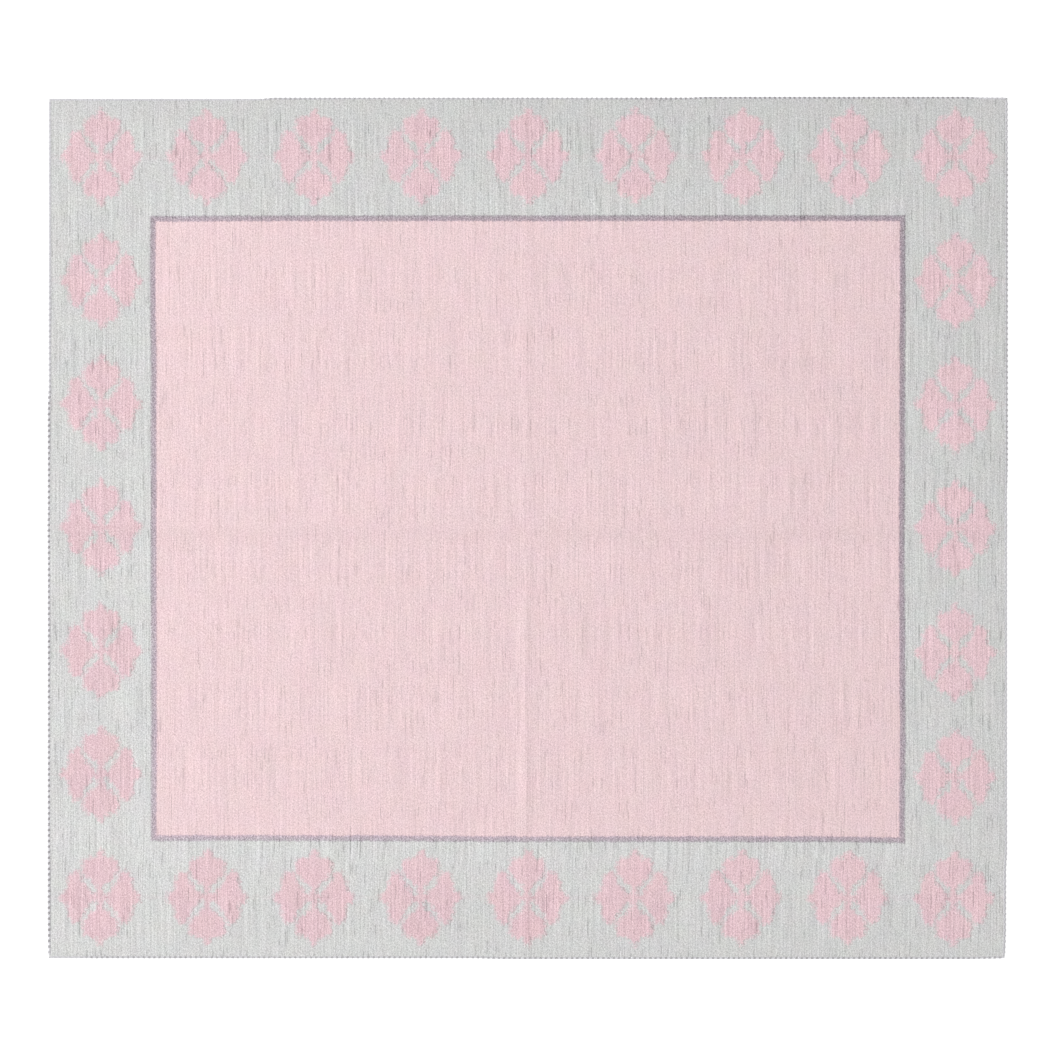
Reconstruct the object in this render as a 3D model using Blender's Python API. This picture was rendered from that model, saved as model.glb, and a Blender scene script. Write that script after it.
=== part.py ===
"""A large flat-woven floor rug lying open, with the soft cross folds of its storage creases.

The rug is one woven sheet. X runs across its width, Y along its depth, and +Z is up.
The origin is the centre of the rug on the floor. All lengths are in metres.
"""

from collections import namedtuple
from math import cos, pi

import bmesh
import bpy

# The sheet
RUG_WIDTH = 2.740
RUG_DEPTH = 2.460
THICKNESS = 0.0040
RIM_CHAMFER = 0.0010
CORNER_INSET = 0.0015

# Spacing of the grid that the sheet is made of
PLAIN_STEPS = 11
FOLD_STEPS = 10

EdgeStation = namedtuple("EdgeStation", "along inset")
FoldStation = namedtuple("FoldStation", "along height")

# How far each edge lies inside the bounding rectangle, station by station
LEFT_EDGE = (
    EdgeStation(-1.23, 0.0014),
    EdgeStation(-1.12, 0.0),
    EdgeStation(0.35, 0.0),
    EdgeStation(0.40, 0.0022),
)
RIGHT_EDGE = (
    EdgeStation(-1.23, 0.0080),
    EdgeStation(-1.15, 0.0050),
    EdgeStation(-0.97, 0.0045),
    EdgeStation(-0.93, 0.0019),
    EdgeStation(0.10, 0.0019),
    EdgeStation(0.17, 0.0),
)
FRONT_EDGE = (
    EdgeStation(-0.15, 0.0020),
    EdgeStation(-0.07, 0.0),
    EdgeStation(1.25, 0.0),
    EdgeStation(1.37, 0.0020),
)
BACK_EDGE = (
    EdgeStation(-0.76, 0.0052),
    EdgeStation(-0.72, 0.0022),
    EdgeStation(0.46, 0.0022),
    EdgeStation(0.51, 0.0),
    EdgeStation(1.25, 0.0),
    EdgeStation(1.30, 0.0018),
)

# The fold that runs along Y, by its height at stations along Y
LONG_FOLD_X = -0.006
LONG_FOLD_HALF_WIDTH = 0.030
LONG_FOLD = (
    FoldStation(-1.23, 0.0012),
    FoldStation(-0.80, 0.0024),
    FoldStation(-0.20, 0.0018),
    FoldStation(0.10, 0.0010),
    FoldStation(1.23, 0.0008),
)

# The fold that runs along X, by its height at stations along X
CROSS_FOLD_Y = 0.005
CROSS_FOLD_HALF_WIDTH = 0.062
CROSS_FOLD = (
    FoldStation(-1.37, 0.0030),
    FoldStation(-0.60, 0.0040),
    FoldStation(0.0, 0.0026),
    FoldStation(1.37, 0.0018),
)

YARN_COLOUR = (0.64, 0.52, 0.53, 1.0)
YARN_ROUGHNESS = 0.9


def read_between(stations, along):
    """Value of the second column at `along`, on straight lines from station to station."""
    if along <= stations[0].along:
        return stations[0][1]
    for near, far in zip(stations, stations[1:]):
        if along <= far.along:
            share = (along - near.along) / (far.along - near.along)
            return near[1] + share * (far[1] - near[1])
    return stations[-1][1]


def hump(distance, half_width):
    """Smooth cross-section of a fold: 1 on its crest, 0 from its half width outwards."""
    if abs(distance) >= half_width:
        return 0.0
    return 0.5 + 0.5 * cos(pi * distance / half_width)


def lift(x, y):
    """Height of the underside over the floor. Where the folds cross, the taller one leads."""
    long_rise = read_between(LONG_FOLD, y) * hump(x - LONG_FOLD_X, LONG_FOLD_HALF_WIDTH)
    cross_rise = read_between(CROSS_FOLD, x) * hump(y - CROSS_FOLD_Y, CROSS_FOLD_HALF_WIDTH)
    return max(long_rise, cross_rise)


def grid_lines(half_length, fold_at, fold_half_width):
    """Places of the grid lines along one side: wide on the flat cloth, close across the fold."""
    fold_start = fold_at - fold_half_width
    fold_end = fold_at + fold_half_width
    lines = []
    for step in range(PLAIN_STEPS):
        lines.append(-half_length + step / PLAIN_STEPS * (fold_start + half_length))
    for step in range(FOLD_STEPS):
        lines.append(fold_start + step / FOLD_STEPS * (fold_end - fold_start))
    for step in range(PLAIN_STEPS + 1):
        lines.append(fold_end + step / PLAIN_STEPS * (half_length - fold_end))
    return lines


def laid_point(x, y):
    """A point of the flat rectangle, moved to where the laid sheet's underside has it.

    The edges' insets fade out towards the middle of the rug, so the grid stays even.
    """
    half_width = RUG_WIDTH / 2
    half_depth = RUG_DEPTH / 2
    side = LEFT_EDGE if x < 0 else RIGHT_EDGE
    end = FRONT_EDGE if y < 0 else BACK_EDGE
    at_side = abs(x) / half_width
    at_end = abs(y) / half_depth
    corner = CORNER_INSET if at_side > 0.999 and at_end > 0.999 else 0.0
    x_inset = read_between(side, y) * at_side**4 + corner
    y_inset = read_between(end, x) * at_end**4 + corner
    laid_x = x - x_inset if x > 0 else x + x_inset
    laid_y = y - y_inset if y > 0 else y + y_inset
    return laid_x, laid_y, lift(x, y)


def make_yarn_material():
    """Matt wool and cotton yarn."""
    material = bpy.data.materials.new("woven_yarn")
    material.use_nodes = True
    shader = material.node_tree.nodes["Principled BSDF"]
    shader.inputs["Base Color"].default_value = YARN_COLOUR
    shader.inputs["Roughness"].default_value = YARN_ROUGHNESS
    shader.inputs["Metallic"].default_value = 0.0
    return material


def make_rug():
    """The woven sheet: its underside as a grid, thickened upwards and eased along its rim."""
    x_lines = grid_lines(RUG_WIDTH / 2, LONG_FOLD_X, LONG_FOLD_HALF_WIDTH)
    y_lines = grid_lines(RUG_DEPTH / 2, CROSS_FOLD_Y, CROSS_FOLD_HALF_WIDTH)
    sheet = bmesh.new()
    rows = [[sheet.verts.new(laid_point(x, y)) for x in x_lines] for y in y_lines]
    for near, far in zip(rows, rows[1:]):
        for column in range(len(x_lines) - 1):
            sheet.faces.new((near[column], near[column + 1], far[column + 1], far[column]))
    mesh = bpy.data.meshes.new("rug_cloth")
    sheet.to_mesh(mesh)
    sheet.free()

    rug = bpy.data.objects.new("rug_cloth", mesh)
    bpy.context.scene.collection.objects.link(rug)
    mesh.materials.append(make_yarn_material())

    body = rug.modifiers.new("Thickness", "SOLIDIFY")
    body.thickness = THICKNESS
    body.offset = 1.0

    rim = rug.modifiers.new("Rim", "BEVEL")
    rim.width = RIM_CHAMFER
    rim.segments = 1
    rim.limit_method = "ANGLE"
    rim.angle_limit = pi / 3
    return rug


def main():
    for old in list(bpy.data.objects):
        bpy.data.objects.remove(old, do_unlink=True)
    make_rug()


main()
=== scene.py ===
# A large flat-woven wool rug lying open, looked at from straight above.
# Its warps run along Y as fine ribs. The weft crosses them and covers them with its colours.
from math import pi

import bpy
import numpy as np
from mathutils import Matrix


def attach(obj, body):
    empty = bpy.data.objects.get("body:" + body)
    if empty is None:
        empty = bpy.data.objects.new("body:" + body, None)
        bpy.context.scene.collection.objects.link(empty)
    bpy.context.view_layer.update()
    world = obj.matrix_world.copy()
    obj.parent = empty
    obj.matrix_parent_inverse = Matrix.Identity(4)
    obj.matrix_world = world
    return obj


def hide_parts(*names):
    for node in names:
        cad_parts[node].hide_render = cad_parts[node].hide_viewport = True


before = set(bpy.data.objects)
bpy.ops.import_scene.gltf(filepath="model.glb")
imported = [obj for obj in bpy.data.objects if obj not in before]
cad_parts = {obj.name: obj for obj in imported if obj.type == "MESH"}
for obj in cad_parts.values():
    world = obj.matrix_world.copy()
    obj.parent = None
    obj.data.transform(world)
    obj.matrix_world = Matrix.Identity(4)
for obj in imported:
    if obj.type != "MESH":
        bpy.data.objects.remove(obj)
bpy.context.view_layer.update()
print("frame loaded")

# The photograph, with the rug in its middle: one of its pixels on the rug, in metres
pixelSize = 0.0028536
photoWidth = 1056

latticeSpan = 4.0             # metres each way that a random lattice covers


def fromHex(code):
    # sRGB hex to linear light: the standard curve, channel by channel
    channels = np.array([int(code[i:i + 2], 16) for i in (1, 3, 5)]) / 255
    linear = np.where(channels <= 0.04045, channels / 12.92, ((channels + 0.055) / 1.055) ** 2.4)
    return (*linear.tolist(), 1.0)


def put(tree, kind, settings=None, inputs=None):
    # adds one node, sets its settings, then sets its inputs or links them from sockets or nodes
    node = tree.nodes.new(kind)
    for name, value in (settings or {}).items():
        setattr(node, name, value)
    for key, value in (inputs or {}).items():
        if isinstance(value, bpy.types.Node):
            value = value.outputs[0]
        if isinstance(value, bpy.types.NodeSocket):
            tree.links.new(value, node.inputs[key])
        else:
            node.inputs[key].default_value = value
    return node


def newMaterial(name):
    material = bpy.data.materials.new(name)
    material.use_nodes = True
    material.node_tree.nodes.clear()
    return material


def newPiece(name, points, faces, material, uv=None):
    # a mesh object at the origin; uv holds one pair of numbers for each point
    mesh = bpy.data.meshes.new(name)
    mesh.from_pydata(points.tolist(), [], faces)
    mesh.materials.append(material)
    if uv is not None:
        corner = np.empty(len(mesh.loops), np.int32)
        mesh.loops.foreach_get("vertex_index", corner)
        layer = mesh.uv_layers.new(name="clothPlace")
        layer.data.foreach_set("uv", uv[corner].astype(np.float32).ravel())
    mesh.shade_smooth()
    mesh.update()
    piece = bpy.data.objects.new(name, mesh)
    bpy.context.scene.collection.objects.link(piece)
    return piece


def roughField(x, y, cell, seed):
    # random heights from -1 to 1 at the corners of a lattice of cells, blended smoothly between
    rng = np.random.default_rng(seed)
    cellX, cellY = cell
    lattice = rng.uniform(-1, 1, (int(latticeSpan / cellX) + 3, int(latticeSpan / cellY) + 3))
    gx = (x + latticeSpan / 2) / cellX
    gy = (y + latticeSpan / 2) / cellY
    ix = gx.astype(int)
    iy = gy.astype(int)
    tx = gx - ix
    ty = gy - iy
    tx = tx * tx * (3 - 2 * tx)
    ty = ty * ty * (3 - 2 * ty)
    low = lattice[ix, iy] * (1 - tx) + lattice[ix + 1, iy] * tx
    high = lattice[ix, iy + 1] * (1 - tx) + lattice[ix + 1, iy + 1] * tx
    return low * (1 - ty) + high * ty


# The rug's own sizes in metres. The edges and folds repeat those of its solid.
rug = {
    "width": 2.740,
    "depth": 2.460,
    "thickness": 0.0040,
    "columns": 580,           # cells across, about 4.7 mm wide, narrow as the streaks are
    "rows": 144,              # cells along, about 17 mm long
    "edgeLines": (0.0, 0.0015, 0.0040, 0.0080),
    "edgeBand": 0.014,        # the even cells start this far inside the edges
    "undersideEvery": 4,      # the underside keeps every fourth grid line
    "insetFade": 4,           # power by which the edges' insets fade towards the middle
    "stitchRoom": 0.0010,     # the cloth ends this far inside the overcast yarn
    "rimTop": 0.0031,         # the edge is squeezed thin by the overcasting
    "rimMiddle": 0.0021,
    "rimUnder": 0.0011,
    "rimRound": 0.0004,
    "rimEase": 0.012,         # width over which the face rises from the rim
    "underInset": 0.003,
    "underBand": 0.016,       # the underside is lifted within this much of the edges
    "waves": 0.00035,         # height of the slow unevenness of the laid cloth
    "waveCell": (0.17, 0.23),
    "streaks": 0.00012,       # height of the thicker and thinner ribs
    "streakCell": (0.0094, 0.13),
    "seed": 31,
}
edgeInset = {
    "left": {"along": (-1.23, -1.12, 0.35, 0.40), "inset": (0.0014, 0.0, 0.0, 0.0022)},
    "right": {
        "along": (-1.23, -1.15, -0.97, -0.93, 0.10, 0.17),
        "inset": (0.0080, 0.0050, 0.0045, 0.0019, 0.0019, 0.0),
    },
    "front": {"along": (-0.15, -0.07, 1.25, 1.37), "inset": (0.0020, 0.0, 0.0, 0.0020)},
    "back": {
        "along": (-0.76, -0.72, 0.46, 0.51, 1.25, 1.30),
        "inset": (0.0052, 0.0022, 0.0022, 0.0, 0.0, 0.0018),
    },
}
foldShape = {
    "crest": 0.10,            # share of the half width that the crest is rounded over
    "power": 1.6,
}
longFold = {
    "at": -0.006,
    "halfWidth": 0.030,
    "cells": 14,
    "along": (-1.23, -0.80, -0.20, 0.10, 1.23),
    "height": (0.0012, 0.0024, 0.0018, 0.0010, 0.0008),
}
crossFold = {
    "at": 0.005,
    "halfWidth": 0.062,
    "cells": 16,
    "along": (-1.37, -0.60, 0.0, 1.37),
    "height": (0.0030, 0.0040, 0.0026, 0.0018),
}


def foldRise(fold, across, along):
    # height of a fold: its height between stations along it, times a ridge across it, which is
    # (1 - n) to a power, where n goes from 0 at the crest, rounded off there, to 1 at the foot
    near = np.clip(np.abs(across - fold["at"]) / fold["halfWidth"], 0, 1)
    crest = foldShape["crest"]
    rounded = (np.hypot(near, crest) - crest) / (np.hypot(1, crest) - crest)
    return np.interp(along, fold["along"], fold["height"]) * (1 - rounded) ** foldShape["power"]


def lift(x, y):
    # height of the underside over the floor; where the folds cross, the taller one leads
    return np.maximum(foldRise(longFold, x, y), foldRise(crossFold, y, x))


def insetOf(side, along):
    return np.interp(along, edgeInset[side]["along"], edgeInset[side]["inset"])


def laidPlace(x, y, pull=0.0):
    # a point of the flat rectangle moved inwards with its edges; pull is a further inset there
    atSide = np.abs(x) / (rug["width"] / 2)
    atEnd = np.abs(y) / (rug["depth"] / 2)
    side = np.where(x < 0, insetOf("left", y), insetOf("right", y)) + pull
    end = np.where(y < 0, insetOf("front", x), insetOf("back", x)) + pull
    fade = rug["insetFade"]
    return x - np.sign(x) * side * atSide**fade, y - np.sign(y) * end * atEnd**fade


def fromEdge(x, y):
    # distance inwards from the nearest edge of the flat rectangle
    return np.minimum(rug["width"] / 2 - np.abs(x), rug["depth"] / 2 - np.abs(y))


def gridLines(half, count, fold):
    # close lines beside both edges, where the cloth is squeezed, and over the fold
    close = np.array(rug["edgeLines"])
    plain = (count - 2 * len(close) - fold["cells"]) // 2
    start = fold["at"] - fold["halfWidth"]
    end = fold["at"] + fold["halfWidth"]
    before = np.linspace(-half + rug["edgeBand"], start, plain + 1)
    over = np.linspace(start, end, fold["cells"] + 1)
    after = np.linspace(end, half - rug["edgeBand"], plain + 1)
    return np.concatenate([-half + close, before, over[1:-1], after, half - close[::-1]])


def gridPoints(xLines, yLines):
    # places of all crossings of the lines, numbered along y first
    return (a.ravel() for a in np.meshgrid(xLines, yLines, indexing="ij"))


def gridFaces(across, along, start=0, flip=False):
    # quads of a grid whose points are numbered along y first
    i, j = np.meshgrid(np.arange(across - 1), np.arange(along - 1), indexing="ij")
    a = (i * along + j).ravel() + start
    corners = [a, a + along, a + along + 1, a + 1]
    return np.stack(corners[::-1] if flip else corners, 1)


def borderOf(across, along, start=0):
    # point numbers round a grid's edge, counterclockwise from its first corner
    i = np.arange(across)
    j = np.arange(along)
    front = i[:-1] * along
    right = (across - 1) * along + j[:-1]
    back = i[:0:-1] * along + along - 1
    left = j[:0:-1]
    return np.concatenate([front, right, back, left]) + start


def band(low, high):
    # quads between two loops of equal length, facing away from the rug
    return np.stack([low, np.roll(low, -1), np.roll(high, -1), high], 1)


def fansOf(fine, coarse, every):
    # triangles between a fine loop and a coarse one that keeps only some of its points: for each
    # coarse edge, one on every fine edge, from the nearer coarse point, and one on the coarse edge
    cell = np.arange(len(coarse)) * every
    coarseNext = np.roll(coarse, -1)
    fans = []
    for step in range(every):
        anchor = coarse if step < every // 2 else coarseNext
        fans.append(np.stack([anchor, fine[(cell + step + 1) % len(fine)], fine[cell + step]], 1))
    fans.append(np.stack([coarse, coarseNext, fine[cell + every // 2]], 1))
    return np.concatenate(fans)


def makeCloth(material):
    # top: a grid over the rectangle, z = lift + thickness + waves + streaks, eased down at the rim
    # underside: every fourth line of that grid on the floor, joined to the top by a rounded rim
    xLines = gridLines(rug["width"] / 2, rug["columns"], longFold)
    yLines = gridLines(rug["depth"] / 2, rug["rows"], crossFold)
    x, y = gridPoints(xLines, yLines)
    ease = np.sqrt(np.clip(1 - (1 - np.clip(fromEdge(x, y) / rug["rimEase"], 0, 1)) ** 2, 0, 1))
    waves = rug["waves"] * roughField(x, y, rug["waveCell"], rug["seed"])
    streaks = rug["streaks"] * roughField(x, y, rug["streakCell"], rug["seed"] + 1)
    body = rug["thickness"] + waves + streaks
    top = rug["rimTop"] + (body - rug["rimTop"]) * ease
    px, py = laidPlace(x, y, rug["stitchRoom"] + rug["rimRound"])
    rise = lift(x, y)
    topPoints = np.stack([px, py, rise + top], 1)

    every = rug["undersideEvery"]
    xUnder = xLines[::every]
    yUnder = yLines[::every]
    ux, uy = gridPoints(xUnder, yUnder)
    underLift = rug["rimUnder"] * (fromEdge(ux, uy) < rug["underBand"])
    vx, vy = laidPlace(ux, uy, rug["underInset"])
    underPoints = np.stack([vx, vy, lift(ux, uy) + underLift], 1)

    edge = borderOf(len(xLines), len(yLines))
    mx, my = laidPlace(x[edge], y[edge], rug["stitchRoom"])
    middle = np.stack([mx, my, rise[edge] + rug["rimMiddle"]], 1)
    lx, ly = laidPlace(x[edge], y[edge], rug["stitchRoom"] + rug["rimRound"])
    low = np.stack([lx, ly, rise[edge] + rug["rimUnder"]], 1)

    ring = len(edge)
    middleIds = len(topPoints) + np.arange(ring)
    lowIds = middleIds + ring
    underStart = len(topPoints) + 2 * ring
    underEdge = borderOf(len(xUnder), len(yUnder), underStart)

    faces = gridFaces(len(xLines), len(yLines)).tolist()
    faces += band(middleIds, edge).tolist()
    faces += band(lowIds, middleIds).tolist()
    faces += fansOf(lowIds, underEdge, every).tolist()
    faces += gridFaces(len(xUnder), len(yUnder), underStart, flip=True).tolist()
    points = np.concatenate([topPoints, middle, low, underPoints])

    flat = np.concatenate([
        np.stack([x, y], 1),
        np.stack([x[edge], y[edge]], 1),
        np.stack([x[edge], y[edge]], 1),
        np.stack([ux, uy], 1),
    ])
    return newPiece("rugCloth", points, faces, material, flat + clothWander(flat))


# How far the woven pattern strays from its straight lines, in metres. Positive is to the right
# and to the back. Each stripe bends as the photograph shows, and the rows of blooms lean a little.
# A stripe's bend is full between the two middle places across, and gone at the outer ones.
wander = {
    "slow": 0.0005,
    "slowCell": (0.31, 0.36),
    "quick": 0.0004,
    "quickCell": (0.09, 0.11),
    "seed": 77,
    "left": {
        "across": (-1.10, -1.085, -0.90, 0.0),
        "along": (-0.83, -0.60, 0.10, 0.45, 0.62),
        "shift": (0.0010, 0.0014, 0.0006, 0.0002, -0.0020),
    },
    "right": {
        "across": (0.0, 0.90, 1.085, 1.10),
        "along": (-0.83, -0.60, -0.10, 0.30, 0.80),
        "shift": (0.0008, 0.0033, 0.0004, 0.0010, 0.0026),
    },
    "front": {
        "across": (-0.92, -0.905, -0.70, 0.0),
        "along": (-1.06, -0.50, 0.0, 0.90, 1.06),
        "shift": (0.0008, 0.0004, -0.0018, -0.0021, -0.0050),
    },
    "frontBlooms": {"across": (-0.96, -0.93), "shift": (-0.0026, 0.0)},
    "rightBlooms": {"across": (1.095, 1.11), "shift": (0.0, -0.0026)},
    "backBlooms": {"across": (0.92, 0.95), "shift": (0.0, 0.0026)},
}


def clothWander(flat):
    # smooth random shifts and the bends of the stripes, as shifts of the place that is read
    x, y = flat[:, 0], flat[:, 1]
    shifts = []
    for step in range(2):
        slow = wander["slow"] * roughField(x, y, wander["slowCell"], wander["seed"] + step)
        quick = wander["quick"] * roughField(x, y, wander["quickCell"], wander["seed"] + 10 + step)
        shifts.append(slow + quick)
    for side, across, along, step in (("left", x, y, 0), ("right", x, y, 0), ("front", y, x, 1)):
        bend = np.interp(along, wander[side]["along"], wander[side]["shift"])
        shifts[step] = shifts[step] - bend * np.interp(across, wander[side]["across"], (0, 1, 1, 0))
    for row, across, step in (("frontBlooms", y, 0), ("rightBlooms", x, 1), ("backBlooms", y, 1)):
        shifts[step] = shifts[step] - np.interp(across, wander[row]["across"], wander[row]["shift"])
    return np.stack(shifts, 1)


# Colours of the wool as the photograph shows them
colours = {
    "ground": "#d3d3d2",
    "field": "#ecd1d4",
    "bloom": "#e5c6cc",
    "stripeInner": "#b9a6b1",
    "stripeOuter": "#ada6ac",
    "edgeDark": "#a3a0a3",
    "edgePale": "#dddce0",
}

# How tones change over the rug, as shares for each metre to the right and to the back
lean = {
    "stripe": (-0.060, -0.090, 0),
    "stripeEnds": 0.055,      # the stripe's front and back lengths are this much lighter
    "bloom": (0.028, 0.025, 0),
    "groundMiddle": 1.020,    # the border's tone half way back, beside the stripe
    "groundToBack": -0.024,
    "groundFromStripe": -0.12,
}

# The pattern's layout on the rug, in metres
layout = {
    "stripeHalfX": 1.0687,
    "stripeHalfY": 0.8858,
    "stripeCentre": (-0.0003, -0.0014, 0),
    "stripeHalfWidth": 0.0084,
    "bloomPitch": (0.30505, 0.35270, 1),
    "bloomCentre": (0.0014, 0.0014, 0),
    "bloomReach": 60.0 * pixelSize,
}

# One quarter of a bloom, charted in photo pixels from its middle. Each row is a place
# across, how high the side petal reaches there, and where the upper petal starts and ends.
bloomChart = (
    (0.0, 4.3, 0.0, 48.6),
    (1.6, 4.2, 0.0, 48.0),
    (2.8, 3.8, 0.0, 46.8),
    (3.2, 3.4, 9.8, 44.4),
    (4.4, 2.8, 12.0, 41.4),
    (6.5, 3.2, 13.8, 40.4),
    (8.0, 5.0, 14.9, 40.0),
    (10.0, 7.9, 16.2, 39.8),
    (12.0, 10.2, 17.9, 39.6),
    (14.0, 12.4, 19.9, 39.2),
    (15.8, 14.6, 21.8, 38.4),
    (17.2, 16.8, 24.2, 36.8),
    (18.1, 18.4, 26.6, 34.4),
    (18.4, 19.2, 60.0, 0.0),
    (19.0, 21.8, 60.0, 0.0),
    (19.8, 24.2, 60.0, 0.0),
    (21.5, 25.8, 60.0, 0.0),
    (24.0, 26.7, 60.0, 0.0),
    (26.0, 26.4, 60.0, 0.0),
    (28.0, 25.2, 60.0, 0.0),
    (30.0, 22.8, 60.0, 0.0),
    (31.5, 19.8, 60.0, 0.0),
    (32.4, 16.8, 60.0, 0.0),
    (32.9, 9.4, 60.0, 0.0),
    (33.9, 6.7, 60.0, 0.0),
    (35.8, 5.3, 60.0, 0.0),
    (38.0, 4.9, 60.0, 0.0),
    (39.6, 4.2, 60.0, 0.0),
    (40.4, 0.0, 60.0, 0.0),
)


def fromBloom(tree, place):
    # distances across and up from the middle of the nearest bloom, as blooms repeat over the border
    moved = put(tree, "ShaderNodeVectorMath", {"operation": "SUBTRACT"}, {0: place, 1: layout["bloomCentre"]})
    half = tuple(size / 2 for size in layout["bloomPitch"])
    wrapped = put(tree, "ShaderNodeVectorMath", {"operation": "WRAP"},
                  {0: moved, 1: half, 2: tuple(-size for size in half)})
    return put(tree, "ShaderNodeVectorMath", {"operation": "ABSOLUTE"}, {0: wrapped})


def bloomMask(tree, place, blend):
    # 1 inside the blooms, 0 outside: the chart is read by columns, and its limits are blended
    # over the given width in metres
    near = fromBloom(tree, place)
    reach = layout["bloomReach"]
    scaled = put(tree, "ShaderNodeVectorMath", {"operation": "DIVIDE"}, {0: near, 1: (reach, reach, 1)})
    across, up, _ = put(tree, "ShaderNodeSeparateXYZ", {}, {0: scaled}).outputs
    chart = put(tree, "ShaderNodeValToRGB", {}, {0: across})
    stops = chart.color_ramp.elements
    while len(stops) < len(bloomChart):
        stops.new(0.5)
    for stop, (column, *limits) in zip(stops, bloomChart):
        stop.position = column * pixelSize / reach
        stop.color = (*(limit * pixelSize / reach for limit in limits), 1)
    soft = blend / reach
    inside = put(tree, "ShaderNodeVectorMath", {"operation": "SUBTRACT"}, {0: chart, 1: up})
    shares = put(tree, "ShaderNodeVectorMath", {"operation": "MULTIPLY_ADD"},
                 {0: inside, 1: (1 / soft, -1 / soft, 1 / soft), 2: (0.5, 0.5, 0.5)})
    low = put(tree, "ShaderNodeVectorMath", {"operation": "MAXIMUM"}, {0: shares, 1: (0, 0, 0)})
    high = put(tree, "ShaderNodeVectorMath", {"operation": "MINIMUM"}, {0: low, 1: (1, 1, 1)})
    side, past, before = put(tree, "ShaderNodeSeparateXYZ", {}, {0: high}).outputs
    petal = put(tree, "ShaderNodeMath", {"operation": "MULTIPLY"}, {0: past, 1: before})
    return put(tree, "ShaderNodeMath", {"operation": "MAXIMUM"}, {0: side, 1: petal})


# The weave, in metres. A rib is one warp with the weft over it. The real weft is about
# 1.5 mm thick, finer than a pixel of the render, so its beads are drawn about twice as long.
weave = {
    "rib": 0.0031,
    "bead": 0.0031,
    "sway": 0.0060,
    "beadStep": 0.5,          # each rib's beads start this share of a bead further on
    "beadSlip": 0.4,          # and by a random share of up to this much
    # smooth noises: the size of their lumps along and across, their turn, their detail
    "noises": {
        "sway": ((0.065, 0.45, 1), 0.0, 2.5),
        "pairRuns": ((0.0036, 0.20, 1), 0.0, 0.0),
        "slant": ((0.0044, 0.0028, 1), 0.9, 0.0),
        "wobble": ((0.0140, 0.0140, 1), 0.0, 1.0),
        "hue": ((0.070, 0.070, 1), 0.0, 3.0),
    },
    "noiseRoughness": 0.55,
    # lighter and darker runs along single ribs: how long and how strong; their tone is partly the yarn's own
    # and partly painted light and shade of thicker and thinner ribs
    "ribRuns": ((0.32, 0.105), (0.085, 0.075)),
    "ribApart": 5.37,         # steps through their noise, from rib to rib and from run to run
    "runApart": 31.7,
    "ribBalance": 0.25,       # a rib is that much darker where its left neighbour is lighter
    "pairRuns": 0.195,
    # the dark line of painted shade in a gap between ribs opens and is full at these values of the last run's
    # noise
    "gapShade": 0.178,
    "gapOpens": 0.66,
    "gapFull": 0.78,
    # the grain, as shares of white as the eye sees it
    "beadTone": 0.055,
    # painted light and shade of the slanting clumps' ridges, lit from the left
    "slant": 0.175,
    "borderRuns": 1.55,
    "borderGrain": 1.20,
    "stripeGrain": 2.0,
    "eyeGamma": 2.2,
    "hue": 0.06,
    # the pattern's edges
    "stripeBlend": 0.0030,
    "bloomBlend": 0.0040,
    "crispBlend": 0.0020,
    "wobble": (0.0200, 0.0240, 0),
    "feather": (0.0020, 0.0034, 0),
    "teeth": 0.0040,
    "fibre": 0.0002,
    "fuzz": (0.0150, 0.0125, 0),
    "stripeStray": 0.26,      # the stripe's edges stray this share as far as the blooms'
    # painted shade: a thin dark line at the right of each pink part, as if in shadow from light on the left;
    # its width and tone
    "slitShadeWidth": 0.0022,
    "slitShade": 0.11,
    # the line across a bloom's middle: its tone, how far it fades up and down, and its two ends
    "line": 0.045,
    "lineEdge": (0.0008, 0.0024),
    "lineStart": (0.0085, 0.0110),
    "lineEnd": (0.0230, 0.0270),
    "fleckApart": 0.13,
    "fleckSize": 0.0014,
    "fleckCore": 0.4,         # share of a fleck that is fully dark
    "fleckShare": 0.05,
    "fleck": 0.20,
    # painted shade: the cross fold's front slope is made a little darker, adding to the shade the light gives
    # it
    "creaseShade": 0.022,
    "creaseShadeAt": -0.018,
    "creaseShadeHalf": 0.034,
}

# How dry wool takes the light, and its relief: the share of it that shows, and its depth
wool = {
    "roughness": 0.92,
    "sheen": 0.08,
    "sheenRoughness": 0.5,
    "specular": 0.2,
    "relief": 0.5,
    "reliefDepth": 0.0006,
}


def sumTones(tree, parts):
    # the sum of (tone - 0.5) times share over the parts
    total = 0.0
    for tone, share in parts:
        centred = put(tree, "ShaderNodeMath", {"operation": "SUBTRACT"}, {0: tone, 1: 0.5})
        total = put(tree, "ShaderNodeMath", {"operation": "MULTIPLY_ADD"}, {0: centred, 1: share, 2: total})
    return total


def sumShifts(tree, total, parts):
    # the total, and (noise - 0.5) times width added for each part, across and along
    for part, width in parts:
        centred = put(tree, "ShaderNodeVectorMath", {"operation": "SUBTRACT"}, {0: part, 1: (0.5, 0.5, 0)})
        total = put(tree, "ShaderNodeVectorMath", {"operation": "MULTIPLY_ADD"},
                    {0: centred, 1: width, 2: total})
    return total


def layNoises(tree, place):
    # the smooth noises, each read at its own place of the flat cloth, stretched and turned
    noise = {}
    for name, (size, turn, detail) in weave["noises"].items():
        laid = put(tree, "ShaderNodeMapping", {"vector_type": "TEXTURE"}, {
            "Vector": place, "Location": (len(noise), 0, 0), "Rotation": (0, 0, turn), "Scale": size})
        noise[name] = put(tree, "ShaderNodeTexNoise", {"noise_dimensions": "2D"}, {
            "Vector": laid, "Scale": 1.0, "Detail": detail, "Roughness": weave["noiseRoughness"]})
    return noise


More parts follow.
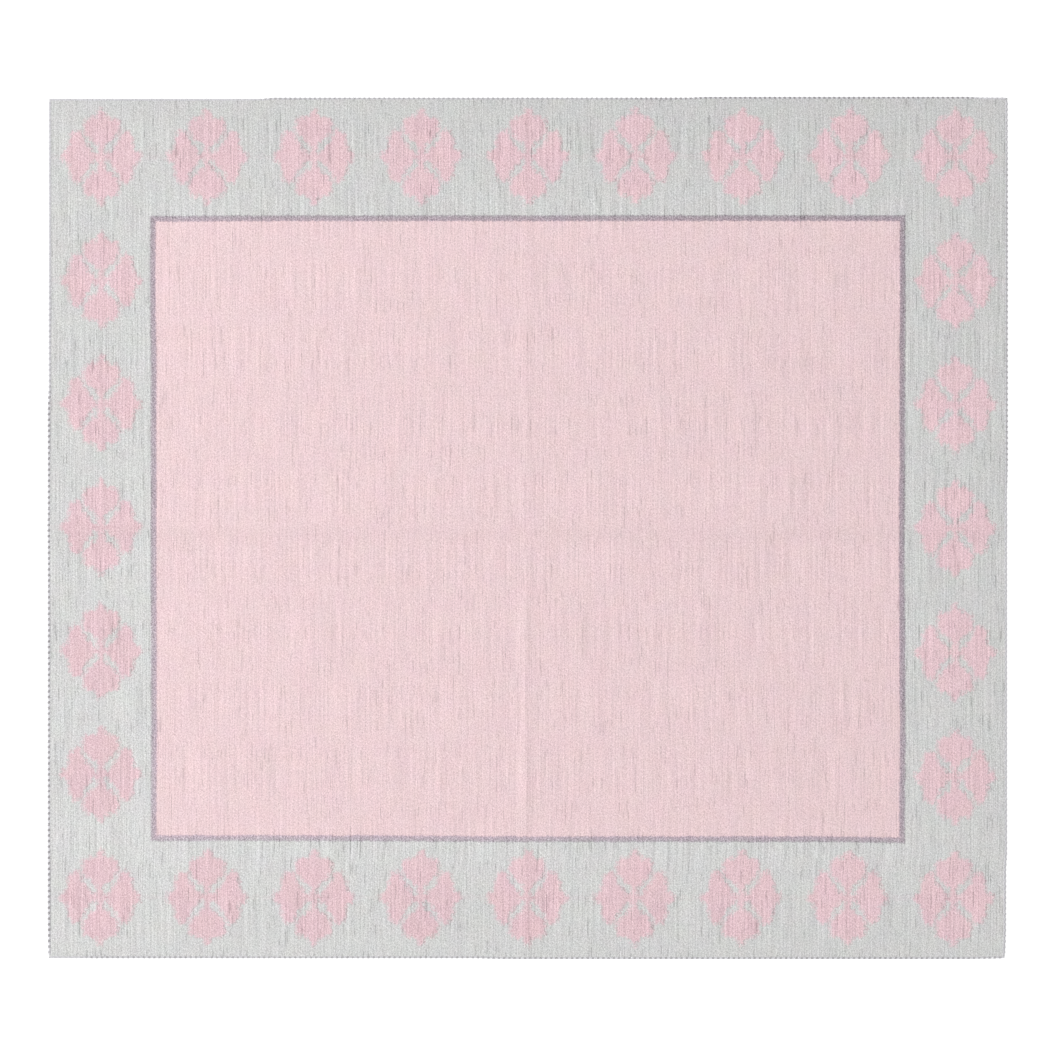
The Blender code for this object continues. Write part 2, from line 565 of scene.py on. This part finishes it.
def layBeads(tree, x, y, noise):
    # ribs wander a little to the side on their way
    swayed = put(tree, "ShaderNodeMath", {"operation": "MULTIPLY_ADD"},
                 {0: noise["sway"], 1: weave["sway"], 2: x})
    ribs = put(tree, "ShaderNodeMath", {"operation": "DIVIDE"}, {0: swayed, 1: weave["rib"]})
    rib = put(tree, "ShaderNodeMath", {"operation": "FLOOR"}, {0: ribs})
    acrossRib = put(tree, "ShaderNodeMath", {"operation": "FRACT"}, {0: ribs})
    ribNoise = put(tree, "ShaderNodeTexWhiteNoise", {"noise_dimensions": "1D"}, {"W": rib})
    # beads: the weft over each rib, laid like bricks, each with a tone of its own
    beads = put(tree, "ShaderNodeMath", {"operation": "DIVIDE"}, {0: y, 1: weave["bead"]})
    stepped = put(tree, "ShaderNodeMath", {"operation": "MULTIPLY_ADD"},
                  {0: rib, 1: weave["beadStep"], 2: beads})
    slipped = put(tree, "ShaderNodeMath", {"operation": "MULTIPLY_ADD"},
                  {0: ribNoise.outputs["Value"], 1: weave["beadSlip"], 2: stepped})
    bead = put(tree, "ShaderNodeMath", {"operation": "FLOOR"}, {0: slipped})
    alongBead = put(tree, "ShaderNodeMath", {"operation": "FRACT"}, {0: slipped})
    beadCell = put(tree, "ShaderNodeCombineXYZ", {}, {0: rib, 1: bead})
    beadNoise = put(tree, "ShaderNodeTexWhiteNoise", {"noise_dimensions": "2D"}, {"Vector": beadCell})
    return rib, ribNoise, beadNoise, acrossRib, alongBead


def layRuns(tree, y, rib, noise):
    # runs: thicker and thinner, lighter and darker lengths of single ribs and of pairs, partly the yarn's own
    # tone and partly painted light and shade of the ribs' relief
    runs = [(noise["pairRuns"], weave["pairRuns"])]
    ribApart = weave["ribApart"]
    for seed, (length, share) in enumerate(weave["ribRuns"]):
        along = put(tree, "ShaderNodeMath", {"operation": "DIVIDE"}, {0: y, 1: length})
        for back, part in ((0, 1), (ribApart, -weave["ribBalance"])):
            apart = put(tree, "ShaderNodeMath", {"operation": "MULTIPLY_ADD"},
                        {0: rib, 1: ribApart, 2: weave["runApart"] * seed - back})
            line = put(tree, "ShaderNodeCombineXYZ", {}, {0: apart, 1: along})
            runs.append((put(tree, "ShaderNodeTexNoise", {"noise_dimensions": "2D"},
                             {"Vector": line, "Scale": 1.0, "Detail": 1.0}), share * part))
    # where two ribs part, a dark line of painted shade opens and closes again, by the last run's own noise
    gapShade = put(tree, "ShaderNodeMapRange", {"interpolation_type": "SMOOTHSTEP"}, {
        0: runs[-2][0], 1: weave["gapOpens"], 2: weave["gapFull"], 3: 0.0, 4: -weave["gapShade"]})
    return put(tree, "ShaderNodeMath", {"operation": "ADD"}, {0: sumTones(tree, runs), 1: gapShade})


def strayPlaces(tree, place, noise, ribNoise, beadNoise):
    # the pattern's edges stray: they wobble, differ from bead to bead and end in teeth along the ribs
    ribEnd = put(tree, "ShaderNodeCombineXYZ", {}, {0: 0.5, 1: ribNoise.outputs["Value"]})
    stray = sumShifts(tree, (0, 0, 0), (
        (noise["wobble"].outputs["Color"], weave["wobble"]),
        (beadNoise.outputs["Color"], weave["feather"]),
        (ribEnd, (0, weave["teeth"], 0)),
    ))
    slitShadePlace = put(tree, "ShaderNodeVectorMath", {"operation": "ADD"}, {0: place, 1: stray})
    # hairs of either colour lie over the other, so seen from afar the colours run together
    hairs = put(tree, "ShaderNodeVectorMath", {"operation": "SNAP"}, {0: place, 1: (weave["fibre"],) * 3})
    hair = put(tree, "ShaderNodeTexWhiteNoise", {"noise_dimensions": "2D"}, {"Vector": hairs})
    stray = sumShifts(tree, stray, ((hair.outputs["Color"], weave["fuzz"]),))
    bloomPlace = put(tree, "ShaderNodeVectorMath", {"operation": "ADD"}, {0: place, 1: stray})
    stripePlace = put(tree, "ShaderNodeVectorMath", {"operation": "MULTIPLY_ADD"},
                      {0: stray, 1: (weave["stripeStray"],) * 3, 2: place})
    return slitShadePlace, bloomPlace, stripePlace


def slitShadeAndLine(tree, place, slitShadePlace):
    # tones of the painted shade in the slit at the right of each pink part, where light from the left leaves
    # it in shadow, and of the line across each bloom's middle
    crisp = []
    for side in (-0.5, 0.5):
        beside = put(tree, "ShaderNodeVectorMath", {"operation": "ADD"},
                     {0: slitShadePlace, 1: (side * weave["slitShadeWidth"], 0, 0)})
        crisp.append(bloomMask(tree, beside, weave["crispBlend"]))
    slitShade = put(tree, "ShaderNodeMath", {"operation": "SUBTRACT", "use_clamp": True},
               {0: crisp[0], 1: crisp[1]})
    besideX, besideY, _ = put(tree, "ShaderNodeSeparateXYZ", {}, {0: fromBloom(tree, place)}).outputs
    lineTone = weave["line"]
    for part, ends, before in ((besideY, "lineEdge", 1), (besideX, "lineStart", 0), (besideX, "lineEnd", 1)):
        near, far = weave[ends]
        ramp = put(tree, "ShaderNodeMapRange", {}, {0: part, 1: near, 2: far, 3: before, 4: 1 - before})
        lineTone = put(tree, "ShaderNodeMath", {"operation": "MULTIPLY"}, {0: ramp, 1: lineTone})
    return put(tree, "ShaderNodeMath", {"operation": "MULTIPLY_ADD"},
               {0: slitShade, 1: weave["slitShade"], 2: lineTone})


def fleckTones(tree, place):
    # flecks: now and then a bit of dark fibre spun into the wool
    fleck = put(tree, "ShaderNodeTexVoronoi", {"voronoi_dimensions": "2D"},
                {"Vector": place, "Scale": 1 / weave["fleckApart"]})
    size = weave["fleckSize"] / weave["fleckApart"]
    near = put(tree, "ShaderNodeMapRange", {}, {
        0: fleck.outputs["Distance"], 1: weave["fleckCore"] * size, 2: size, 3: weave["fleck"], 4: 0.0})
    here = put(tree, "ShaderNodeMath", {"operation": "LESS_THAN"},
               {0: fleck.outputs["Color"], 1: weave["fleckShare"]})
    return put(tree, "ShaderNodeMath", {"operation": "MULTIPLY"}, {0: near, 1: here})


def stripeYarn(tree, place, toStripe, atEnds):
    # the stripe's yarn is greyer outwards, and lighter towards the front and the left
    halfWidth = layout["stripeHalfWidth"]
    across = put(tree, "ShaderNodeMapRange", {}, {0: toStripe, 1: -halfWidth, 2: halfWidth})
    yarn = put(tree, "ShaderNodeMix", {"data_type": "RGBA"}, {
        0: across, 6: fromHex(colours["stripeInner"]), 7: fromHex(colours["stripeOuter"])})
    leaning = put(tree, "ShaderNodeVectorMath", {"operation": "DOT_PRODUCT"}, {0: place, 1: lean["stripe"]})
    ends = put(tree, "ShaderNodeMath", {"operation": "MULTIPLY_ADD"},
               {0: atEnds, 1: lean["stripeEnds"], 2: 1.0})
    tone = put(tree, "ShaderNodeMath", {"operation": "ADD"}, {0: leaning.outputs["Value"], 1: ends})
    return put(tree, "ShaderNodeVectorMath", {"operation": "SCALE"}, {0: yarn.outputs[2], "Scale": tone})


def borderYarn(tree, place, y, toStripe, bloom):
    # pink blooms on the pale ground; the border's tone changes slowly, and the blooms' a bit more
    leaning = put(tree, "ShaderNodeVectorMath", {"operation": "DOT_PRODUCT"}, {0: place, 1: lean["bloom"]})
    bloomTone = put(tree, "ShaderNodeMath", {"operation": "ADD"}, {0: leaning.outputs["Value"], 1: 1.0})
    pink = put(tree, "ShaderNodeVectorMath", {"operation": "SCALE"},
               {0: fromHex(colours["bloom"])[:3], "Scale": bloomTone})
    yarn = put(tree, "ShaderNodeMix", {"data_type": "RGBA"}, {
        0: bloom, 6: fromHex(colours["ground"]), 7: pink})
    groundLean = put(tree, "ShaderNodeMath", {"operation": "MULTIPLY_ADD"},
                     {0: y, 1: lean["groundToBack"], 2: lean["groundMiddle"]})
    groundTone = put(tree, "ShaderNodeMath", {"operation": "MULTIPLY_ADD"},
                     {0: toStripe, 1: lean["groundFromStripe"], 2: groundLean})
    return put(tree, "ShaderNodeVectorMath", {"operation": "SCALE"},
               {0: yarn.outputs[2], "Scale": groundTone})


def makeClothMaterial():
    # weft-faced wool tapestry weave: matt, dry, ribbed along the warp, with soft loose fibres
    material = newMaterial("weftFacedWool")
    tree = material.node_tree
    place = put(tree, "ShaderNodeUVMap", {"uv_map": "clothPlace"})
    x, y, _ = put(tree, "ShaderNodeSeparateXYZ", {}, {0: place}).outputs
    noise = layNoises(tree, place)
    rib, ribNoise, beadNoise, acrossRib, alongBead = layBeads(tree, x, y, noise)
    runTone = layRuns(tree, y, rib, noise)
    # grain: each bead's own tone, and slanting clumps of beads beaten down unevenly, whose ridges' light and
    # shade is painted in
    grainTone = sumTones(tree, (
        (beadNoise.outputs["Value"], weave["beadTone"]), (noise["slant"], weave["slant"])))
    slitShadePlace, bloomPlace, stripePlace = strayPlaces(tree, place, noise, ribNoise, beadNoise)

    # the stripe, and what lies outside it
    fromCentre = put(tree, "ShaderNodeVectorMath", {"operation": "SUBTRACT"},
                     {0: stripePlace, 1: layout["stripeCentre"]})
    away = put(tree, "ShaderNodeVectorMath", {"operation": "ABSOLUTE"}, {0: fromCentre})
    beyond = put(tree, "ShaderNodeVectorMath", {"operation": "SUBTRACT"},
                 {0: away, 1: (layout["stripeHalfX"], layout["stripeHalfY"], 0)})
    beyondX, beyondY, _ = put(tree, "ShaderNodeSeparateXYZ", {}, {0: beyond}).outputs
    toStripe = put(tree, "ShaderNodeMath", {"operation": "MAXIMUM"}, {0: beyondX, 1: beyondY})
    atEnds = put(tree, "ShaderNodeMath", {"operation": "GREATER_THAN"}, {0: beyondY, 1: beyondX})
    fromStripe = put(tree, "ShaderNodeMath", {"operation": "ABSOLUTE"}, {0: toStripe})
    blend = weave["stripeBlend"] / 2
    outside = put(tree, "ShaderNodeMapRange", {}, {0: toStripe, 1: -blend, 2: blend})
    halfWidth = layout["stripeHalfWidth"]
    inStripe = put(tree, "ShaderNodeMapRange", {}, {
        0: fromStripe, 1: halfWidth - blend, 2: halfWidth + blend, 3: 1.0, 4: 0.0})
    bloomSoft = bloomMask(tree, bloomPlace, weave["bloomBlend"])
    bloom = put(tree, "ShaderNodeMath", {"operation": "MULTIPLY"}, {0: bloomSoft, 1: outside})
    # the painted slit shade and the bloom line are kept to the border, outside the stripe
    slitShadeShown = put(tree, "ShaderNodeMath", {"operation": "MULTIPLY"},
                    {0: slitShadeAndLine(tree, place, slitShadePlace), 1: outside})

    # the tone: the border is beaten less evenly, and the stripe's yarn is spun of two greys
    runGain = put(tree, "ShaderNodeMapRange", {}, {0: outside, 3: 1.0, 4: weave["borderRuns"]})
    zoneGrain = put(tree, "ShaderNodeMapRange", {}, {0: outside, 3: 1.0, 4: weave["borderGrain"]})
    grainGain = put(tree, "ShaderNodeMapRange", {}, {0: inStripe, 3: zoneGrain, 4: weave["stripeGrain"]})
    tone = put(tree, "ShaderNodeMath", {"operation": "MULTIPLY_ADD"}, {0: runTone, 1: runGain, 2: 1.0})
    # painted shade along the cross fold's front slope, fading out away from it
    toFold = put(tree, "ShaderNodeMath", {"operation": "SUBTRACT"}, {0: y, 1: weave["creaseShadeAt"]})
    foldNear = put(tree, "ShaderNodeMath", {"operation": "ABSOLUTE"}, {0: toFold})
    paintedCreaseShade = put(tree, "ShaderNodeMapRange", {"interpolation_type": "SMOOTHSTEP"}, {
        0: foldNear, 1: 0.0, 2: weave["creaseShadeHalf"], 3: weave["creaseShade"], 4: 0.0})
    tone = put(tree, "ShaderNodeMath", {"operation": "SUBTRACT"}, {0: tone, 1: paintedCreaseShade})
    grainTone = put(tree, "ShaderNodeMath", {"operation": "MULTIPLY"}, {0: grainTone, 1: grainGain})
    grainTone = put(tree, "ShaderNodeMath", {"operation": "SUBTRACT"}, {0: grainTone, 1: slitShadeShown})
    grainTone = put(tree, "ShaderNodeMath", {"operation": "SUBTRACT"},
                    {0: grainTone, 1: fleckTones(tree, place)})

    # colour: field, border and stripe, dyed unevenly, a little greener here and more lilac there
    border = borderYarn(tree, place, y, toStripe, bloom)
    filled = put(tree, "ShaderNodeMix", {"data_type": "RGBA"}, {
        0: outside, 6: fromHex(colours["field"]), 7: border})
    striped = put(tree, "ShaderNodeMix", {"data_type": "RGBA"}, {
        0: inStripe, 6: filled.outputs[2], 7: stripeYarn(tree, place, toStripe, atEnds)})
    hue = put(tree, "ShaderNodeVectorMath", {"operation": "MULTIPLY_ADD"}, {
        0: noise["hue"].outputs["Color"], 1: (weave["hue"],) * 3, 2: (1 - weave["hue"] / 2,) * 3})
    dyed = put(tree, "ShaderNodeVectorMath", {"operation": "MULTIPLY"}, {0: striped.outputs[2], 1: hue})
    toned = put(tree, "ShaderNodeVectorMath", {"operation": "SCALE"}, {0: dyed, "Scale": tone})
    # the grain is added as the eye sees it: hollows keep their dye, as light bounces inside them
    seen = put(tree, "ShaderNodeGamma", {}, {"Color": toned, "Gamma": 1 / weave["eyeGamma"]})
    grained = put(tree, "ShaderNodeVectorMath", {"operation": "ADD"}, {0: seen, 1: grainTone})
    shaded = put(tree, "ShaderNodeGamma", {}, {"Color": grained, "Gamma": weave["eyeGamma"]})

    # relief: each bead is rounded across its rib and along it, as 1 - 4 (place - 0.5) squared
    swell = []
    for part in (acrossRib, alongBead):
        offset = put(tree, "ShaderNodeMath", {"operation": "SUBTRACT"}, {0: part, 1: 0.5})
        squared = put(tree, "ShaderNodeMath", {"operation": "MULTIPLY"}, {0: offset, 1: offset})
        swell.append(put(tree, "ShaderNodeMath", {"operation": "MULTIPLY_ADD"},
                         {0: squared, 1: -4.0, 2: 1.0}))
    rounded = put(tree, "ShaderNodeMath", {"operation": "MULTIPLY"}, {0: swell[0], 1: swell[1]})
    height = put(tree, "ShaderNodeMath", {"operation": "ADD"}, {0: noise["slant"], 1: rounded})
    relief = put(tree, "ShaderNodeBump", {}, {
        "Strength": wool["relief"], "Distance": wool["reliefDepth"], "Height": height})
    shader = put(tree, "ShaderNodeBsdfPrincipled", {}, {
        "Base Color": shaded, "Roughness": wool["roughness"], "Sheen Weight": wool["sheen"],
        "Sheen Roughness": wool["sheenRoughness"], "Specular IOR Level": wool["specular"],
        "Normal": relief})
    put(tree, "ShaderNodeOutputMaterial", {}, {0: shader})
    return material


# The overcast edge, in metres: two dark strands and three pale ones at each stitch
overcast = {
    "pitch": {"left": 0.01582, "right": 0.01562, "back": 0.01411, "front": 0.01490},
    "count": {"left": 156, "right": 158, "back": 195, "front": 184},
    # how dark the dark strands are, at places along each side
    "dark": {
        "left": {"along": (-1.20, -1.19, 0.36, 0.40, 0.66, 0.72), "share": (0.4, 0.9, 0.9, 0.4, 0.3, 0.1)},
        "right": {"along": (-1.20, -0.75, 0.10, 0.20, 1.03, 1.08), "share": (0.3, 0.1, 0.1, 0.7, 0.6, 0.1)},
        "back": {"along": (-0.78, -0.74, 0.25, 0.35, 1.26, 1.29), "share": (0.1, 0.6, 0.6, 0.9, 0.9, 0.1)},
        "front": {"along": (-1.29, -1.25, 1.34, 1.36), "share": (0.2, 0.65, 0.7, 0.2)},
    },
    # how far the pale strands are tinted, half of how far a stitch reaches in from the edge,
    # half the width of a dark strand, and how far inside the edge a stitch ends
    "pale": {"left": 0.03, "right": 0.26, "back": 0.06, "front": 0.06},
    "reach": {"left": 0.0047, "right": 0.0034, "back": 0.0032, "front": 0.0032},
    "halfWidth": {"left": 0.0019, "right": 0.00165, "back": 0.00165, "front": 0.00165},
    "edgeRoom": {"left": -0.0009, "right": -0.0001, "back": -0.0004, "front": -0.0011},
    # the pale strands are drawn this much tighter, and all end this far from the corners
    "paleRoom": {"left": 0.0009, "right": 0.0014, "back": 0.0009, "front": 0.0009},
    "cornerRoom": {"left": 0.007, "right": 0.007, "back": 0.0015, "front": 0.0015},
    "middle": 0.0026,
    "rise": 0.0015,
    "halfThickness": 0.00065,
    "start": 25,              # degrees from the inner end, where the strand enters the cloth
    "steps": 8,
    "sides": 6,
    "slant": 0.0010,
    "lowest": 0.00002,
    # how much the strands differ: in tone, in place, in width and in reach
    "toneSpread": 0.08,
    "placeSpread": 0.00025,
    "widths": (0.95, 1.08),
    "reaches": (0.96, 1.04),
    "seed": 5,
}

# How the overcast yarn takes the light, and its fuzz: lumps to a metre, their share and depth
edgeYarn = {
    "roughness": 0.9,
    "sheen": 0.08,
    "specular": 0.2,
    "fuzzScale": 900.0,
    "fuzzDetail": 2.0,
    "fuzz": 0.3,
    "fuzzDepth": 0.0003,
}


def layStrands(side, length, edgeAt, ends):
    # each strand's tone, place along the edge, half width, reach and room; five to a stitch
    spec = overcast
    rng = np.random.default_rng(spec["seed"] + len(side))
    pitch = spec["pitch"][side]
    count = spec["count"][side]
    stitch = (np.arange(count) - (count - 1) / 2) * pitch
    darkWidth = 2 * spec["halfWidth"][side]
    paleWidth = (pitch - 2 * darkWidth) / 3
    offsets = np.array([-0.5 * darkWidth, 0.5 * darkWidth, darkWidth + 0.5 * paleWidth,
                        darkWidth + 1.5 * paleWidth, darkWidth + 2.5 * paleWidth])
    widths = np.array([darkWidth, darkWidth, paleWidth, paleWidth, paleWidth]) / 2
    isDark = np.array([1, 1, 0, 0, 0])
    each = len(isDark)
    spread = spec["toneSpread"]
    share = np.interp(stitch, spec["dark"][side]["along"], spec["dark"][side]["share"])
    tone = np.where(isDark, share[:, None], spec["pale"][side]) + rng.uniform(-spread, spread, (count, each))
    tone = tone.clip(0, 1).ravel()
    centre = (stitch[:, None] + offsets + rng.normal(0, spec["placeSpread"], (count, each))).ravel()
    halfWidth = np.tile(widths, count) * rng.uniform(*spec["widths"], count * each)
    size = rng.uniform(*spec["reaches"], count * each)
    room = spec["edgeRoom"][side] + spec["paleRoom"][side] * np.tile(1 - isDark, count)
    # strands past the corners are left off
    low, high = (length / 2 - insetOf(end, edgeAt) - spec["cornerRoom"][side] for end in ends)
    kept = (centre - halfWidth > -low) & (centre + halfWidth < high)
    return (a[kept] for a in (tone, centre, halfWidth, size, room))


def makeStitches(side, material):
    # each strand is an ellipse carried round the edge: at angle t it lies reach times (1 + cos t)
    # inside the edge, at a height of middle plus rise times sin t
    spec = overcast
    alongX = side in ("front", "back")
    length = rug["width"] if alongX else rug["depth"]
    half = (rug["depth"] if alongX else rug["width"]) / 2
    edgeAt = -half if side in ("front", "left") else half
    ends = ("left", "right") if alongX else ("front", "back")
    reach = spec["reach"][side]
    tone, centre, halfWidth, size, room = layStrands(side, length, edgeAt, ends)

    t = np.radians(np.linspace(spec["start"], 360 - spec["start"], spec["steps"]))
    turn = np.linspace(0, 2 * pi, spec["sides"], endpoint=False)
    t, turn = (a[None] for a in np.meshgrid(t, turn, indexing="ij"))
    leaning = spec["slant"] * np.cos(t)
    # outward direction of the loop at t, in the plane across the edge
    outD = np.cos(t) * spec["rise"]
    outZ = np.sin(t) * reach
    outLength = np.hypot(outD, outZ)
    outD, outZ = outD / outLength, outZ / outLength
    thick = spec["halfThickness"] * np.cos(turn)
    inward = size[:, None, None] * reach * (1 + np.cos(t)) + outD * thick
    inward = inward + room[:, None, None]
    z = spec["middle"] + spec["rise"] * np.sin(t) + outZ * thick
    along = centre[:, None, None] + leaning + halfWidth[:, None, None] * np.sin(turn)
    inward = np.broadcast_to(inward, along.shape)
    inset = insetOf(side, centre)[:, None, None] + inward
    edgeLine = np.full_like(centre, edgeAt)
    crest = lift(centre, edgeLine) if alongX else lift(edgeLine, centre)
    z = np.broadcast_to(z, along.shape) + crest[:, None, None]
    across = half - inset if side in ("right", "back") else inset - half
    pair = (along, across) if alongX else (across, along)
    points = np.stack([*pair, np.maximum(z, spec["lowest"])], -1).reshape(-1, 3)

    steps, sides = spec["steps"], spec["sides"]
    i, j = np.meshgrid(np.arange(steps - 1), np.arange(sides), indexing="ij")
    a = (i * sides + j).ravel()
    b = (i * sides + (j + 1) % sides).ravel()
    quads = np.stack([a, b, b + sides, a + sides], 1)
    caps = np.stack([np.arange(sides)[::-1], (steps - 1) * sides + np.arange(sides)])
    if side in ("front", "right"):
        quads, caps = quads[:, ::-1], caps[:, ::-1]
    strand = (np.arange(len(centre)) * steps * sides)[:, None, None]
    faces = (quads[None] + strand).reshape(-1, 4).tolist()
    faces += (caps[None] + strand).reshape(-1, sides).tolist()
    place = np.stack([np.broadcast_to(turn / (2 * pi), along.shape),
                      np.broadcast_to(t * reach, along.shape)], -1).reshape(-1, 2)
    piece = newPiece("overcast" + side.capitalize(), points, faces, material, place)
    layer = piece.data.attributes.new("strandTone", "FLOAT", "POINT")
    layer.data.foreach_set("value", np.repeat(tone, steps * sides).astype(np.float32))
    return piece


def makeStitchMaterial():
    # two-ply wool yarn, matt, pale lilac or mauve-grey by the strand's own tone
    material = newMaterial("overcastWoolYarn")
    tree = material.node_tree
    tone = put(tree, "ShaderNodeAttribute", {"attribute_name": "strandTone"})
    colour = put(tree, "ShaderNodeMix", {"data_type": "RGBA"}, {
        0: tone.outputs["Fac"], 6: fromHex(colours["edgePale"]), 7: fromHex(colours["edgeDark"])})
    place = put(tree, "ShaderNodeTexCoord")
    fuzz = put(tree, "ShaderNodeTexNoise", {}, {
        "Vector": place.outputs["Object"], "Scale": edgeYarn["fuzzScale"],
        "Detail": edgeYarn["fuzzDetail"]})
    bump = put(tree, "ShaderNodeBump", {}, {
        "Strength": edgeYarn["fuzz"], "Distance": edgeYarn["fuzzDepth"], "Height": fuzz})
    shader = put(tree, "ShaderNodeBsdfPrincipled", {}, {
        "Base Color": colour.outputs[2], "Roughness": edgeYarn["roughness"],
        "Sheen Weight": edgeYarn["sheen"], "Specular IOR Level": edgeYarn["specular"],
        "Normal": bump})
    put(tree, "ShaderNodeOutputMaterial", {}, {0: shader})
    return material


# The room: white floor, even white light, and one soft light from the upper left
studio = {
    "floorHalf": 9.0,
    "floorDrop": 0.0002,
    "floorColour": "#f4f4f4",
    "floorGlow": 0.42,
    "skyStrength": 0.71,
    "softLight": 1730.0,
    "softLightSize": 4.3,
    "softLightAt": (-14.3, 0.8, 7.1),
    "aimX": 0.0007,
    "aimY": -0.0006,
    "lens": 70.0,
    "sensor": 36.0,
}


def makeStudio():
    half = studio["floorHalf"]
    material = newMaterial("whiteFloor")
    tree = material.node_tree
    shader = put(tree, "ShaderNodeBsdfPrincipled", {}, {
        "Base Color": fromHex(studio["floorColour"]), "Roughness": 1.0, "Specular IOR Level": 0.0,
        "Emission Color": (1, 1, 1, 1), "Emission Strength": studio["floorGlow"]})
    put(tree, "ShaderNodeOutputMaterial", {}, {0: shader})
    corners = np.array([(-half, -half, 0), (half, -half, 0), (half, half, 0), (-half, half, 0)], float)
    floor = newPiece("floor", corners - (0, 0, studio["floorDrop"]), [(0, 1, 2, 3)], material)

    scene = bpy.context.scene
    world = bpy.data.worlds.new("evenSky")
    world.use_nodes = True
    world.node_tree.nodes["Background"].inputs["Color"].default_value = (1, 1, 1, 1)
    world.node_tree.nodes["Background"].inputs["Strength"].default_value = studio["skyStrength"]
    scene.world = world
    scene.view_settings.view_transform = "Standard"
    scene.view_settings.look = "None"

    lamp = bpy.data.lights.new("softLight", "AREA")
    lamp.energy = studio["softLight"]
    lamp.size = studio["softLightSize"]
    light = bpy.data.objects.new("softLight", lamp)
    light.location = studio["softLightAt"]
    aim = -light.location
    light.rotation_euler = aim.to_track_quat("-Z", "Y").to_euler()
    scene.collection.objects.link(light)

    camera = bpy.data.cameras.new("camera")
    camera.lens = studio["lens"]
    camera.sensor_width = studio["sensor"]
    eye = bpy.data.objects.new("camera", camera)
    distance = photoWidth * pixelSize * studio["lens"] / studio["sensor"]
    eye.location = (studio["aimX"], studio["aimY"], rug["thickness"] + distance)
    scene.collection.objects.link(eye)
    scene.camera = eye
    return floor


floor = makeStudio()
print("studio ready")

cloth = makeCloth(makeClothMaterial())
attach(cloth, "root")
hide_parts("rug_cloth")
print("cloth woven")

stitchYarn = makeStitchMaterial()
for side in ("left", "right", "front", "back"):
    piece = makeStitches(side, stitchYarn)
    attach(piece, "root")
print("edge overcast")
